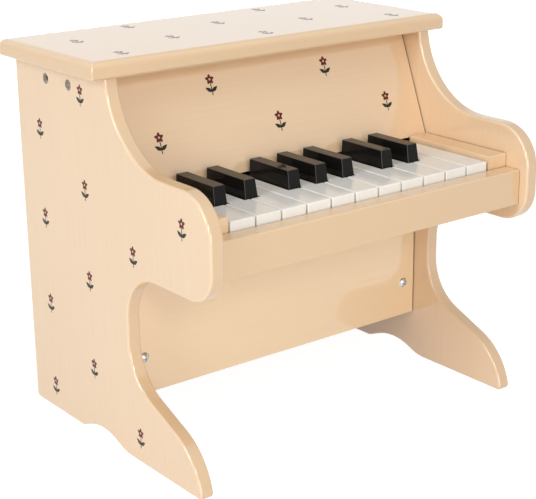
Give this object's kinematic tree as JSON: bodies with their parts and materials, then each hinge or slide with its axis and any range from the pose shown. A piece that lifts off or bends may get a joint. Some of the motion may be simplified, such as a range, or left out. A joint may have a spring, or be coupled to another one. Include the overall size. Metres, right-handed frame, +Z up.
{
  "type": "toy piano",
  "caption": "Small upright wooden toy piano with scroll-shaped sides, a short keyboard of hinged white and black keys, and coupled hammers that strike metal tone bars.",
  "frame": {"origin": "on the floor at the middle of the outer box", "axes": "+X to the player's right along the keyboard, +Y from the keys to the back, +Z up"},
  "size_m": [0.31, 0.236, 0.2745],
  "materials": {
    "cream_lacquer": "gloss lacquer",
    "white_lacquer": "gloss lacquer",
    "black_lacquer": "gloss lacquer",
    "bare_wood": "bare",
    "felt": "felt",
    "steel": "zinc plated",
    "tone_metal": "satin",
    "hammer_plastic": "satin"
  },
  "bodies": {
    "case": {"side_panel_left": "cream_lacquer", "side_panel_right": "cream_lacquer", "top_board": "cream_lacquer", "desk_panel": "cream_lacquer", "key_slip": "cream_lacquer", "key_block_left": "cream_lacquer", "key_block_right": "cream_lacquer", "lower_panel": "cream_lacquer", "key_bed": "cream_lacquer", "back_panel": "cream_lacquer", "lower_panel_cleats": "bare_wood", "key_rest_rail": "bare_wood", "tone_rail_front": "bare_wood", "tone_rail_rear": "bare_wood", "key_stop_felt": "felt", "key_rest_felt": "felt", "tone_rail_felts": "felt", "balance_rod": "steel", "hammer_rod": "steel", "tone_bar_pins": "steel", "tone_rail_screws": "steel", "lower_panel_screws": "steel", "back_panel_screws": "steel", "tone_bars": "tone_metal"},
    "key_c1": {"key_c1": "white_lacquer"},
    "hammer_c1": {"hammer_c1": "hammer_plastic"},
    "key_c1_sharp": {"key_c1_sharp": "black_lacquer"},
    "hammer_c1_sharp": {"hammer_c1_sharp": "hammer_plastic"},
    "key_d1": {"key_d1": "white_lacquer"},
    "hammer_d1": {"hammer_d1": "hammer_plastic"},
    "key_d1_sharp": {"key_d1_sharp": "black_lacquer"},
    "hammer_d1_sharp": {"hammer_d1_sharp": "hammer_plastic"},
    "key_e1": {"key_e1": "white_lacquer"},
    "hammer_e1": {"hammer_e1": "hammer_plastic"},
    "key_f1": {"key_f1": "white_lacquer"},
    "hammer_f1": {"hammer_f1": "hammer_plastic"},
    "key_f1_sharp": {"key_f1_sharp": "black_lacquer"},
    "hammer_f1_sharp": {"hammer_f1_sharp": "hammer_plastic"},
    "key_g1": {"key_g1": "white_lacquer"},
    "hammer_g1": {"hammer_g1": "hammer_plastic"},
    "key_g1_sharp": {"key_g1_sharp": "black_lacquer"},
    "hammer_g1_sharp": {"hammer_g1_sharp": "hammer_plastic"},
    "key_a1": {"key_a1": "white_lacquer"},
    "hammer_a1": {"hammer_a1": "hammer_plastic"},
    "key_a1_sharp": {"key_a1_sharp": "black_lacquer"},
    "hammer_a1_sharp": {"hammer_a1_sharp": "hammer_plastic"},
    "key_b1": {"key_b1": "white_lacquer"},
    "hammer_b1": {"hammer_b1": "hammer_plastic"},
    "key_c2": {"key_c2": "white_lacquer"},
    "hammer_c2": {"hammer_c2": "hammer_plastic"},
    "key_c2_sharp": {"key_c2_sharp": "black_lacquer"},
    "hammer_c2_sharp": {"hammer_c2_sharp": "hammer_plastic"},
    "key_d2": {"key_d2": "white_lacquer"},
    "hammer_d2": {"hammer_d2": "hammer_plastic"},
    "key_d2_sharp": {"key_d2_sharp": "black_lacquer"},
    "hammer_d2_sharp": {"hammer_d2_sharp": "hammer_plastic"},
    "key_e2": {"key_e2": "white_lacquer"},
    "hammer_e2": {"hammer_e2": "hammer_plastic"},
    "key_f2": {"key_f2": "white_lacquer"},
    "hammer_f2": {"hammer_f2": "hammer_plastic"}
  },
  "joints": [
    {"name": "key_c1_tip", "type": "hinge", "parent": "case", "child": "key_c1", "pos_m": [-0.10816, 0.012, 0.1745], "axis": [1, 0, 0], "range_deg": [0, 3.1], "stiffness_Nm_per_rad": 0.15, "springref_deg": -5.73},
    {"name": "hammer_c1_swing", "type": "hinge", "parent": "case", "child": "hammer_c1", "pos_m": [-0.10816, 0.098, 0.21571], "axis": [-1, 0, 0], "range_deg": [0, 17.1]},
    {"name": "key_c1_sharp_tip", "type": "hinge", "parent": "case", "child": "key_c1_sharp", "pos_m": [-0.09568, 0.012, 0.1745], "axis": [1, 0, 0], "range_deg": [0, 3.1], "stiffness_Nm_per_rad": 0.15, "springref_deg": -5.73},
    {"name": "hammer_c1_sharp_swing", "type": "hinge", "parent": "case", "child": "hammer_c1_sharp", "pos_m": [-0.09568, 0.098, 0.21571], "axis": [-1, 0, 0], "range_deg": [0, 17.1]},
    {"name": "key_d1_tip", "type": "hinge", "parent": "case", "child": "key_d1", "pos_m": [-0.0832, 0.012, 0.1745], "axis": [1, 0, 0], "range_deg": [0, 3.1], "stiffness_Nm_per_rad": 0.15, "springref_deg": -5.73},
    {"name": "hammer_d1_swing", "type": "hinge", "parent": "case", "child": "hammer_d1", "pos_m": [-0.0832, 0.098, 0.21571], "axis": [-1, 0, 0], "range_deg": [0, 17.1]},
    {"name": "key_d1_sharp_tip", "type": "hinge", "parent": "case", "child": "key_d1_sharp", "pos_m": [-0.07072, 0.012, 0.1745], "axis": [1, 0, 0], "range_deg": [0, 3.1], "stiffness_Nm_per_rad": 0.15, "springref_deg": -5.73},
    {"name": "hammer_d1_sharp_swing", "type": "hinge", "parent": "case", "child": "hammer_d1_sharp", "pos_m": [-0.07072, 0.098, 0.21571], "axis": [-1, 0, 0], "range_deg": [0, 17.1]},
    {"name": "key_e1_tip", "type": "hinge", "parent": "case", "child": "key_e1", "pos_m": [-0.05824, 0.012, 0.1745], "axis": [1, 0, 0], "range_deg": [0, 3.1], "stiffness_Nm_per_rad": 0.15, "springref_deg": -5.73},
    {"name": "hammer_e1_swing", "type": "hinge", "parent": "case", "child": "hammer_e1", "pos_m": [-0.05824, 0.098, 0.21571], "axis": [-1, 0, 0], "range_deg": [0, 17.1]},
    {"name": "key_f1_tip", "type": "hinge", "parent": "case", "child": "key_f1", "pos_m": [-0.04606, 0.012, 0.1745], "axis": [1, 0, 0], "range_deg": [0, 3.1], "stiffness_Nm_per_rad": 0.15, "springref_deg": -5.73},
    {"name": "hammer_f1_swing", "type": "hinge", "parent": "case", "child": "hammer_f1", "pos_m": [-0.04606, 0.098, 0.21571], "axis": [-1, 0, 0], "range_deg": [0, 17.1]},
    {"name": "key_f1_sharp_tip", "type": "hinge", "parent": "case", "child": "key_f1_sharp", "pos_m": [-0.03417, 0.012, 0.1745], "axis": [1, 0, 0], "range_deg": [0, 3.1], "stiffness_Nm_per_rad": 0.15, "springref_deg": -5.73},
    {"name": "hammer_f1_sharp_swing", "type": "hinge", "parent": "case", "child": "hammer_f1_sharp", "pos_m": [-0.03417, 0.098, 0.21571], "axis": [-1, 0, 0], "range_deg": [0, 17.1]},
    {"name": "key_g1_tip", "type": "hinge", "parent": "case", "child": "key_g1", "pos_m": [-0.02229, 0.012, 0.1745], "axis": [1, 0, 0], "range_deg": [0, 3.1], "stiffness_Nm_per_rad": 0.15, "springref_deg": -5.73},
    {"name": "hammer_g1_swing", "type": "hinge", "parent": "case", "child": "hammer_g1", "pos_m": [-0.02229, 0.098, 0.21571], "axis": [-1, 0, 0], "range_deg": [0, 17.1]},
    {"name": "key_g1_sharp_tip", "type": "hinge", "parent": "case", "child": "key_g1_sharp", "pos_m": [-0.0104, 0.012, 0.1745], "axis": [1, 0, 0], "range_deg": [0, 3.1], "stiffness_Nm_per_rad": 0.15, "springref_deg": -5.73},
    {"name": "hammer_g1_sharp_swing", "type": "hinge", "parent": "case", "child": "hammer_g1_sharp", "pos_m": [-0.0104, 0.098, 0.21571], "axis": [-1, 0, 0], "range_deg": [0, 17.1]},
    {"name": "key_a1_tip", "type": "hinge", "parent": "case", "child": "key_a1", "pos_m": [0.00149, 0.012, 0.1745], "axis": [1, 0, 0], "range_deg": [0, 3.1], "stiffness_Nm_per_rad": 0.15, "springref_deg": -5.73},
    {"name": "hammer_a1_swing", "type": "hinge", "parent": "case", "child": "hammer_a1", "pos_m": [0.00149, 0.098, 0.21571], "axis": [-1, 0, 0], "range_deg": [0, 17.1]},
    {"name": "key_a1_sharp_tip", "type": "hinge", "parent": "case", "child": "key_a1_sharp", "pos_m": [0.01337, 0.012, 0.1745], "axis": [1, 0, 0], "range_deg": [0, 3.1], "stiffness_Nm_per_rad": 0.15, "springref_deg": -5.73},
    {"name": "hammer_a1_sharp_swing", "type": "hinge", "parent": "case", "child": "hammer_a1_sharp", "pos_m": [0.01337, 0.098, 0.21571], "axis": [-1, 0, 0], "range_deg": [0, 17.1]},
    {"name": "key_b1_tip", "type": "hinge", "parent": "case", "child": "key_b1", "pos_m": [0.02526, 0.012, 0.1745], "axis": [1, 0, 0], "range_deg": [0, 3.1], "stiffness_Nm_per_rad": 0.15, "springref_deg": -5.73},
    {"name": "hammer_b1_swing", "type": "hinge", "parent": "case", "child": "hammer_b1", "pos_m": [0.02526, 0.098, 0.21571], "axis": [-1, 0, 0], "range_deg": [0, 17.1]},
    {"name": "key_c2_tip", "type": "hinge", "parent": "case", "child": "key_c2", "pos_m": [0.03744, 0.012, 0.1745], "axis": [1, 0, 0], "range_deg": [0, 3.1], "stiffness_Nm_per_rad": 0.15, "springref_deg": -5.73},
    {"name": "hammer_c2_swing", "type": "hinge", "parent": "case", "child": "hammer_c2", "pos_m": [0.03744, 0.098, 0.21571], "axis": [-1, 0, 0], "range_deg": [0, 17.1]},
    {"name": "key_c2_sharp_tip", "type": "hinge", "parent": "case", "child": "key_c2_sharp", "pos_m": [0.04992, 0.012, 0.1745], "axis": [1, 0, 0], "range_deg": [0, 3.1], "stiffness_Nm_per_rad": 0.15, "springref_deg": -5.73},
    {"name": "hammer_c2_sharp_swing", "type": "hinge", "parent": "case", "child": "hammer_c2_sharp", "pos_m": [0.04992, 0.098, 0.21571], "axis": [-1, 0, 0], "range_deg": [0, 17.1]},
    {"name": "key_d2_tip", "type": "hinge", "parent": "case", "child": "key_d2", "pos_m": [0.0624, 0.012, 0.1745], "axis": [1, 0, 0], "range_deg": [0, 3.1], "stiffness_Nm_per_rad": 0.15, "springref_deg": -5.73},
    {"name": "hammer_d2_swing", "type": "hinge", "parent": "case", "child": "hammer_d2", "pos_m": [0.0624, 0.098, 0.21571], "axis": [-1, 0, 0], "range_deg": [0, 17.1]},
    {"name": "key_d2_sharp_tip", "type": "hinge", "parent": "case", "child": "key_d2_sharp", "pos_m": [0.07488, 0.012, 0.1745], "axis": [1, 0, 0], "range_deg": [0, 3.1], "stiffness_Nm_per_rad": 0.15, "springref_deg": -5.73},
    {"name": "hammer_d2_sharp_swing", "type": "hinge", "parent": "case", "child": "hammer_d2_sharp", "pos_m": [0.07488, 0.098, 0.21571], "axis": [-1, 0, 0], "range_deg": [0, 17.1]},
    {"name": "key_e2_tip", "type": "hinge", "parent": "case", "child": "key_e2", "pos_m": [0.08736, 0.012, 0.1745], "axis": [1, 0, 0], "range_deg": [0, 3.1], "stiffness_Nm_per_rad": 0.15, "springref_deg": -5.73},
    {"name": "hammer_e2_swing", "type": "hinge", "parent": "case", "child": "hammer_e2", "pos_m": [0.08736, 0.098, 0.21571], "axis": [-1, 0, 0], "range_deg": [0, 17.1]},
    {"name": "key_f2_tip", "type": "hinge", "parent": "case", "child": "key_f2", "pos_m": [0.09954, 0.012, 0.1745], "axis": [1, 0, 0], "range_deg": [0, 3.1], "stiffness_Nm_per_rad": 0.15, "springref_deg": -5.73},
    {"name": "hammer_f2_swing", "type": "hinge", "parent": "case", "child": "hammer_f2", "pos_m": [0.09954, 0.098, 0.21571], "axis": [-1, 0, 0], "range_deg": [0, 17.1]}
  ],
  "couplings": [
    {"joint": "hammer_c1_swing", "follows": "key_c1_tip", "ratio": 5.4839},
    {"joint": "hammer_c1_sharp_swing", "follows": "key_c1_sharp_tip", "ratio": 5.4839},
    {"joint": "hammer_d1_swing", "follows": "key_d1_tip", "ratio": 5.4839},
    {"joint": "hammer_d1_sharp_swing", "follows": "key_d1_sharp_tip", "ratio": 5.4839},
    {"joint": "hammer_e1_swing", "follows": "key_e1_tip", "ratio": 5.4839},
    {"joint": "hammer_f1_swing", "follows": "key_f1_tip", "ratio": 5.4839},
    {"joint": "hammer_f1_sharp_swing", "follows": "key_f1_sharp_tip", "ratio": 5.4839},
    {"joint": "hammer_g1_swing", "follows": "key_g1_tip", "ratio": 5.4839},
    {"joint": "hammer_g1_sharp_swing", "follows": "key_g1_sharp_tip", "ratio": 5.4839},
    {"joint": "hammer_a1_swing", "follows": "key_a1_tip", "ratio": 5.4839},
    {"joint": "hammer_a1_sharp_swing", "follows": "key_a1_sharp_tip", "ratio": 5.4839},
    {"joint": "hammer_b1_swing", "follows": "key_b1_tip", "ratio": 5.4839},
    {"joint": "hammer_c2_swing", "follows": "key_c2_tip", "ratio": 5.4839},
    {"joint": "hammer_c2_sharp_swing", "follows": "key_c2_sharp_tip", "ratio": 5.4839},
    {"joint": "hammer_d2_swing", "follows": "key_d2_tip", "ratio": 5.4839},
    {"joint": "hammer_d2_sharp_swing", "follows": "key_d2_sharp_tip", "ratio": 5.4839},
    {"joint": "hammer_e2_swing", "follows": "key_e2_tip", "ratio": 5.4839},
    {"joint": "hammer_f2_swing", "follows": "key_f2_tip", "ratio": 5.4839}
  ]
}
